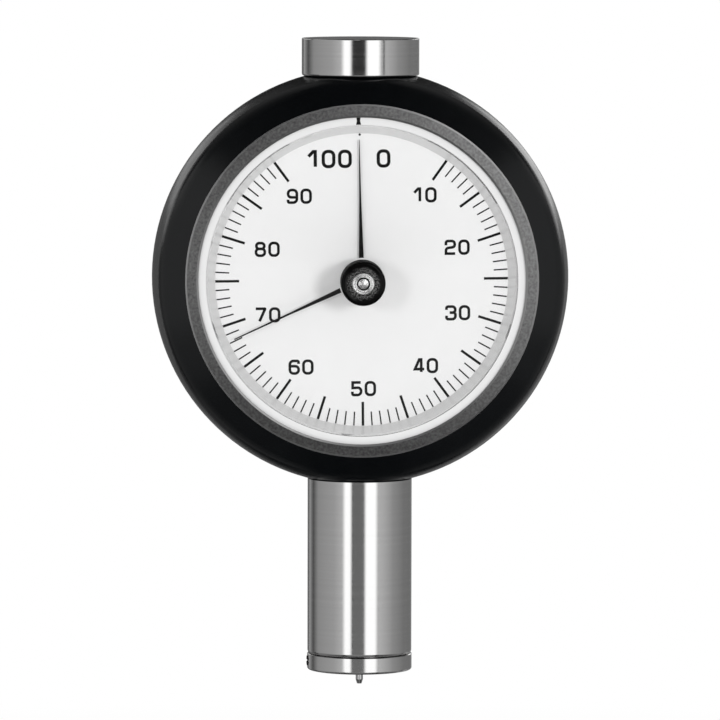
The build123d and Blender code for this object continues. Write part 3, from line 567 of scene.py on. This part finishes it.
FINISHES = {
    "black_case": mottled(  # anodised aluminium
        "black_case_finish",
        patch_size=3.0 * MM,
        colours=greys((0.0014, 0.002), tint=-0.3),
        roughness=(0.21, 0.25),
        bumps=(0.25 * MM, 0.0006 * MM),
        IOR=GLOSS_IOR,
    ),
    "satin_bezel": satin_bezel(),
    "turned_steel": turned_steel(),
    "hard_steel": machined("hard_steel_finish", colour=(0.58, 0.58, 0.58), roughness=0.2),
    "bright_steel": face_turned(),
    "black_oxide": machined("black_oxide_finish", colour=(0.012, 0.012, 0.012), roughness=0.4),
    "spring_steel": machined("spring_steel_finish", colour=(0.32, 0.34, 0.4), roughness=0.3),
    "clear_crystal": clear_crystal(),
    "seal_rubber": gasket("seal_rubber_finish", levels=(0.02, 0.035)),
    "pale_gasket": gasket("pale_gasket_finish", levels=(0.7, 0.77)),
    "white_dial": mottled(  # enamel
        "white_dial_finish",
        patch_size=2.5 * MM,
        colours=greys((0.84, 0.87)),
        roughness=(0.45, 0.55),
        bumps=(0.2 * MM, 0.001 * MM),
        IOR=1.45,
    ),
    "white_ring": white_ring(),
    "yellow_brass": machined("yellow_brass_finish", colour=(0.75, 0.58, 0.27), roughness=0.3),
    "bearing_bronze": machined("bearing_bronze_finish", colour=(0.62, 0.42, 0.24), roughness=0.32),
    "black_hand": black_paint("black_hand_finish", levels=(0.002, 0.005), roughness=0.45),
    "black_knob": black_knob(),
    "white_bush": mottled(  # moulded plastic
        "white_bush_finish",
        patch_size=0.6 * MM,
        colours=greys((0.76, 0.82)),
        roughness=(0.3, 0.4),
        Subsurface_Weight=0.1,
        Subsurface_Radius=(MM, MM, MM),
    ),
}
INK = black_paint("dial_ink", levels=(0.003, 0.006), roughness=0.5)


def placed(name, data):
    """A new object in the scene."""
    made = bpy.data.objects.new(name, data)
    bpy.context.scene.collection.objects.link(made)
    return made


def mesh_object(name, mesh, material):
    """A new object from a mesh that is being built, in one material."""
    data = bpy.data.meshes.new(name)
    mesh.to_mesh(data)
    mesh.free()
    data.materials.append(material)
    return placed(name, data)


def dress_nodes():
    """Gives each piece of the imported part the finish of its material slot."""
    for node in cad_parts.values():
        for slot in node.material_slots:
            slot.material = FINISHES[slot.material.name]


def pressed_spring():
    """The main spring as a piece of its own, in place of the imported one, that stays with the case."""
    piece = placed("pressed_spring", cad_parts["main_spring"].data.copy())
    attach(piece, "case")
    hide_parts("main_spring")
    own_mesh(piece)


def on_face(face_y, turn=PRINT_TURN):
    """A placing function for print on a face: across, up and out, in the dial's turned axes."""

    def place(across, up, out):
        turned_x = across * cos(turn) - up * sin(turn)
        turned_z = across * sin(turn) + up * cos(turn)
        return Vector((turned_x, face_y - out, DIAL_MIDDLE.z + turned_z))

    return place


def rounded(points, closed):
    """A path of (across, up, corner radius) points with its corners as arcs."""
    count = len(points)
    path = []
    for index, (across, up, radius) in enumerate(points):
        corner = Vector((across, up))
        at_end = not closed and index in (0, count - 1)
        if at_end or not radius:
            path.append(corner)
            continue
        before = Vector(points[index - 1][:2]) - corner
        after = Vector(points[(index + 1) % count][:2]) - corner
        half_turn = (pi - before.angle(after)) / 2
        reach = min(radius * tan(half_turn), CORNER_SHARE * before.length, CORNER_SHARE * after.length)
        bend = reach / tan(half_turn)
        middle = corner + (before.normalized() + after.normalized()).normalized() * bend / cos(half_turn)
        first = corner + before.normalized() * reach - middle
        last = corner + after.normalized() * reach - middle
        sweep = first.angle_signed(last)
        for step in range(CORNER_STEPS + 1):
            angle = atan2(first.y, first.x) - sweep * step / CORNER_STEPS
            path.append(middle + bend * Vector((cos(angle), sin(angle))))
    return path


def offset_sides(path, width, closed):
    """The two sides of a stroke along a path, mitred at its corners."""
    count = len(path)
    left, right = [], []
    for index, point in enumerate(path):
        runs = []
        if closed or index > 0:
            runs.append((point - path[index - 1]).normalized())
        if closed or index < count - 1:
            runs.append((path[(index + 1) % count] - point).normalized())
        normals = [Vector((-run.y, run.x)) for run in runs]
        mitre = (normals[0] + normals[-1]).normalized()
        reach = width / 2 / mitre.dot(normals[0])
        left.append(point + mitre * reach)
        right.append(point - mitre * reach)
    return left, right


def stroke(mesh, path, width, closed, place, depth):
    """Adds one printed stroke to a mesh, as a thin closed solid on its face."""
    left, right = offset_sides(path, width, closed)
    corners = ((left, 0), (left, depth), (right, depth), (right, 0))
    rows = [[mesh.verts.new(place(*point, out)) for point in side] for side, out in corners]
    count = len(path)
    for start in range(count if closed else count - 1):
        end = (start + 1) % count
        for row, following in zip(rows, rows[1:] + rows[:1]):
            mesh.faces.new((row[start], row[end], following[end], following[start]))
    if not closed:
        mesh.faces.new([row[0] for row in rows])
        mesh.faces.new([row[-1] for row in reversed(rows)])


def patch(mesh, outline, place, depth):
    """Adds one printed patch to a mesh, as a thin closed solid on its face."""
    back = [mesh.verts.new(place(*point, 0)) for point in outline]
    front = [mesh.verts.new(place(*point, depth)) for point in outline]
    mesh.faces.new(back)
    mesh.faces.new(front)
    for index in range(len(outline)):
        mesh.faces.new((back[index - 1], back[index], front[index], front[index - 1]))


def printed(name, mesh):
    """Turns a mesh into a piece of print that stays with the case."""
    bmesh.ops.recalc_face_normals(mesh, faces=mesh.faces)
    piece = mesh_object(name, mesh, INK)
    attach(piece, "case")


def clock(value):
    """Across and up shares of the direction to a reading, clockwise from the top."""
    angle = 2 * pi * value / UNITS_PER_TURN
    return Vector((sin(angle), cos(angle)))


def print_ticks(name, values, inner_r, width):
    """One ring of scale lines."""
    mesh = bmesh.new()
    place = on_face(DIAL_FACE_Y)
    for value in values:
        line = [clock(value) * inner_r, clock(value) * TICK_OUTER_R]
        stroke(mesh, line, width, False, place, PRINT_DEPTH)
    printed(name, mesh)


def print_number(mesh, text, middle, scale=1.0):
    """Adds an upright number to a mesh, centred on a point of the dial."""
    width, height = (scale * size for size in NUMERAL_SIZE)
    pitch = width + scale * NUMERAL_GAP
    start = middle - Vector((pitch * (len(text) - 1) + width, height)) / 2
    place = on_face(DIAL_FACE_Y)
    for index, digit in enumerate(text):
        for order, (closed, points) in enumerate(DIGITS[digit]):
            corners = []
            for across, up, corner in points:
                spot = start + Vector((index * pitch + across * width, up * height))
                corners.append((spot.x, spot.y, corner * scale * NUMERAL_CORNER))
            depth = PRINT_DEPTH + order * PRINT_STEP
            stroke(mesh, rounded(corners, closed), scale * NUMERAL_STROKE, closed, place, depth)


def print_numerals():
    """The numerals inside the scale, and the two that close it at the top."""
    mesh = bmesh.new()
    for values, (across, up) in NUMERAL_SPOTS.items():
        for value in values:
            side = clock(value)
            spot = Vector((copysign(across, side.x), copysign(up, side.y)))
            print_number(mesh, str(value), spot + NUMERAL_SHIFT)
    for text, across in END_NUMERALS:
        print_number(mesh, text, Vector((across, END_NUMERAL_R)), END_NUMERAL_SCALE)
    printed("scale_numerals", mesh)


def print_zero():
    """The waisted zero mark on the land, and a dot below it at the dial's edge."""
    mesh = bmesh.new()
    inner, outer = ZERO_MARK_R
    heights = (inner, (inner + outer) / 2, outer)
    right = [(width / 2, up) for width, up in zip(ZERO_MARK_WIDTHS, heights)]
    left = [(-across, up) for across, up in reversed(right)]
    patch(mesh, right + left, on_face(LAND_FACE_Y, ZERO_MARK_TURN), PRINT_DEPTH)
    printed("zero_mark", mesh)
    mesh = bmesh.new()
    turns = [2 * pi * side / DOT_SIDES for side in range(DOT_SIDES)]
    dot = [(ZERO_DOT_SIZE * cos(turn), ZERO_DOT_R + ZERO_DOT_SIZE * sin(turn)) for turn in turns]
    patch(mesh, dot, on_face(DIAL_FACE_Y, ZERO_DOT_TURN), PRINT_DEPTH)
    printed("zero_dot", mesh)


def direction(azimuth, elevation):
    """A direction seen from the part: azimuth 0 is in front of the dial and grows to the right."""
    flat = cos(elevation)
    return Vector((sin(azimuth) * flat, -cos(azimuth) * flat, sin(elevation)))


def emitter(name, first, last):
    """A plain glow that goes evenly from the first level to the last across a card."""
    material, tree = unshaded(name)
    material.cycles.emission_sampling = "NONE"
    across = add(tree, "ShaderNodeSeparateXYZ", {"Vector": add(tree, "ShaderNodeTexCoord").outputs["UV"]})
    level = spread(tree, across.outputs["X"], first, last, WHOLE)
    surface(tree, add(tree, "ShaderNodeEmission", {"Strength": level}).outputs[0])
    return material


def card(name, azimuths, elevations, levels, radius):
    """A curved studio card that only reflections see."""
    mesh = bmesh.new()
    uv = mesh.loops.layers.uv.new("across")
    columns = ceil(abs(radians(azimuths[1] - azimuths[0])) / CARD_FACE)
    rows = ceil(abs(radians(elevations[1] - elevations[0])) / CARD_FACE)
    grid = []
    for row in range(rows + 1):
        elevation = radians(elevations[0] + (elevations[1] - elevations[0]) * row / rows)
        line = []
        for column in range(columns + 1):
            azimuth = radians(azimuths[0] + (azimuths[1] - azimuths[0]) * column / columns)
            line.append(mesh.verts.new(STUDIO_MIDDLE + radius * direction(azimuth, elevation)))
        grid.append(line)
    for row in range(rows):
        for column in range(columns):
            spots = ((row, column), (row, column + 1), (row + 1, column + 1), (row + 1, column))
            face = mesh.faces.new([grid[r][c] for r, c in spots])
            for loop, (r, c) in zip(face.loops, spots):
                loop[uv].uv = (c / columns, r / rows)
    made = mesh_object(name, mesh, emitter(name + "_glow", *levels))
    made.visible_camera = False
    made.visible_diffuse = False
    made.visible_transmission = False
    made.visible_shadow = False


def studio_cards():
    """The dim room round the part, its walls, and the brighter panels in it."""
    for order, (name, (azimuths, elevations, levels)) in enumerate(CARDS.items()):
        card(name, azimuths, elevations, levels, CARD_R - order * CARD_STEP)


def softbox(name, azimuth, elevation, size, level):
    """A flat soft light of this brightness, which neither the camera nor reflections see."""
    lamp = bpy.data.lights.new(name, "AREA")
    lamp.shape = "RECTANGLE"
    lamp.size, lamp.size_y = size
    lamp.energy = level * pi * size[0] * size[1]
    made = placed(name, lamp)
    outward = direction(radians(azimuth), radians(elevation))
    made.location = STUDIO_MIDDLE + SOFTBOX_R * outward
    made.rotation_mode = "QUATERNION"
    made.rotation_quaternion = outward.to_track_quat("Z", "Y")
    made.visible_camera = False
    made.visible_glossy = False


def white_world():
    """White to the eye, in mirrors and through glass, and a plain level of light elsewhere."""
    world = bpy.data.worlds.new("white_world")
    world.use_nodes = True
    tree = world.node_tree
    path = add(tree, "ShaderNodeLightPath")
    seen = path.outputs["Is Camera Ray"]
    for ray in ("Is Glossy Ray", "Is Transmission Ray"):
        seen = calculated(tree, "MAXIMUM", seen, path.outputs[ray])
    background = tree.nodes["Background"]
    background.inputs["Color"].default_value = grey(1.0)
    put(tree, background.inputs["Strength"], spread(tree, seen, AMBIENT, 1.0, WHOLE))
    bpy.context.scene.world = world


def floor_finish():
    """Pale and lit a little from within, fading into white, and clear from below."""
    material, tree = unshaded("pale_floor")
    far = add(tree, "ShaderNodeVectorMath", {0: object_point(tree)}, operation="LENGTH").outputs["Value"]
    fade = spread(tree, far, 0.0, 1.0, [share * FLOOR_R for share in FLOOR_FADE])
    matt = add(tree, "ShaderNodeBsdfDiffuse", {"Color": grey(FLOOR_GREY)})
    glow = add(tree, "ShaderNodeEmission", {"Color": grey(1.0), "Strength": FLOOR_GLOW})
    lit = add(tree, "ShaderNodeAddShader", {0: matt.outputs[0], 1: glow.outputs[0]})
    white = add(tree, "ShaderNodeEmission", {"Color": grey(1.0), "Strength": 1.0})
    top = mix_shaders(tree, fade, lit.outputs[0], white.outputs[0])
    clear = add(tree, "ShaderNodeBsdfTransparent").outputs[0]
    from_below = add(tree, "ShaderNodeNewGeometry").outputs["Backfacing"]
    surface(tree, mix_shaders(tree, from_below, top, clear))
    return material


def pale_floor():
    """A round pale floor that keeps the part's shadow."""
    mesh = bmesh.new()
    bmesh.ops.create_circle(mesh, cap_ends=True, segments=FLOOR_SIDES, radius=FLOOR_R)
    floor = mesh_object("floor", mesh, floor_finish())
    floor.location.z = FLOOR_Z
    floor.visible_glossy = False


def photo_camera():
    """The camera at the photograph's viewing angle."""
    lens = bpy.data.cameras.new("photo_camera")
    lens.sensor_width = SENSOR
    lens.lens = PIXELS_PER_METRE * CAMERA_DISTANCE / IMAGE_SIDE * SENSOR
    lens.clip_start, lens.clip_end = CAMERA_CLIP
    camera = placed("photo_camera", lens)
    camera.location = DIAL_MIDDLE + CAMERA_DISTANCE * direction(CAMERA_AZIMUTH, CAMERA_ELEVATION)
    camera.rotation_mode = "QUATERNION"
    straight = (AIM - camera.location).to_track_quat("-Z", "Y")
    camera.rotation_quaternion = straight @ Quaternion((0, 0, 1), CAMERA_ROLL)
    bpy.context.scene.camera = camera


photo_camera()
dress_nodes()
pressed_spring()
major_values = [value for value in TICK_VALUES if value % TICK_EVERY == 0]
minor_values = [value for value in TICK_VALUES if value % TICK_EVERY]
print_ticks("scale_lines_major", major_values, *MAJOR_TICK)
print_ticks("scale_lines_minor", minor_values, *MINOR_TICK)
print_numerals()
print_zero()
white_world()
pale_floor()
studio_cards()
for lamp_name, lamp_values in SOFTBOXES.items():
    softbox(lamp_name, *lamp_values)
bpy.context.scene.view_settings.view_transform = "Standard"
